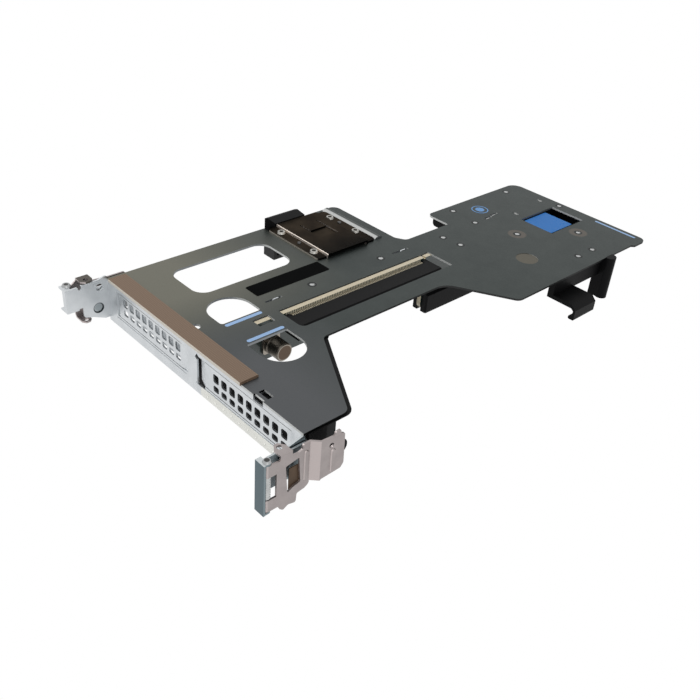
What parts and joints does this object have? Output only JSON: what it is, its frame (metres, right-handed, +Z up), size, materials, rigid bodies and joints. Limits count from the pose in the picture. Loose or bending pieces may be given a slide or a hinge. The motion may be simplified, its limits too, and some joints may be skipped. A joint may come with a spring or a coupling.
{
  "type": "server riser card",
  "caption": "Low-profile server riser: upright board with card slots on both faces, hung under a steel plate with a perforated rear bracket and two side latches.",
  "frame": {"origin": "middle of the host connector's lower face", "axes": "+X along the rear bracket from the left latch to the right one, +Y from the bracket to the far end, +Z up to the top plate"},
  "size_m": [0.1497, 0.2671, 0.037],
  "materials": {
    "plate_steel": "satin galvanised sheet",
    "board_green": "green solder mask on glass fibre",
    "black_plastic": "moulded",
    "gold_contacts": "gold flash",
    "capacitor_can": "bare can",
    "bracket_zinc": "bright zinc",
    "screw_steel": "nickel",
    "liner_black": "film",
    "gasket_brown": "woven conductive cloth",
    "gasket_strip": "plated spring strip",
    "cover_nickel": "dark nickel",
    "label_black": "bare label film",
    "lever_steel": "brushed",
    "leaf_bronze": "spring bronze",
    "pad_blue": "moulded"
  },
  "bodies": {
    "carrier": {"top_plate": "plate_steel", "riser_board": "board_green", "right_slot_connector": "black_plastic", "left_slot_connector": "black_plastic", "host_connector": "black_plastic", "slot_contact_tails": "gold_contacts", "capacitor": "capacitor_can", "board_bracket": "bracket_zinc", "board_screws": "screw_steel", "plate_rivets": "screw_steel", "underside_liner": "liner_black", "rear_bracket": "bracket_zinc", "left_slot_cover": "bracket_zinc", "right_slot_cover": "bracket_zinc", "top_gasket": "gasket_brown", "lower_gasket": "gasket_strip", "left_latch_pin": "screw_steel", "right_latch_pin": "screw_steel", "right_latch_spring": "screw_steel", "side_module_housing": "black_plastic", "side_module_cover": "cover_nickel", "cover_screws": "screw_steel", "cover_pins": "screw_steel", "card_support": "black_plastic", "plate_spacer": "black_plastic", "release_guide": "black_plastic", "neck_label": "label_black"},
    "left_lever": {"left_latch_lever": "lever_steel"},
    "right_lever": {"right_latch_lever": "lever_steel", "right_latch_leaf": "leaf_bronze", "right_latch_stud": "black_plastic"},
    "release": {"release_slider": "black_plastic", "release_pad": "pad_blue"}
  },
  "joints": [
    {"name": "left_latch_hinge", "type": "hinge", "parent": "carrier", "child": "left_lever", "pos_m": [-0.07135, -0.1973, 0.0262], "axis": [0, 0, 1], "range_deg": [0, 90]},
    {"name": "right_latch_hinge", "type": "hinge", "parent": "carrier", "child": "right_lever", "pos_m": [0.0717, -0.1992, 0.0205], "axis": [0, 0, -1], "range_deg": [0, 90]},
    {"name": "release_slide", "type": "slide", "parent": "carrier", "child": "release", "axis": [0, 1, 0], "range_m": [0, 0.006], "stiffness_N_per_m": 300, "springref_m": -0.004}
  ]
}
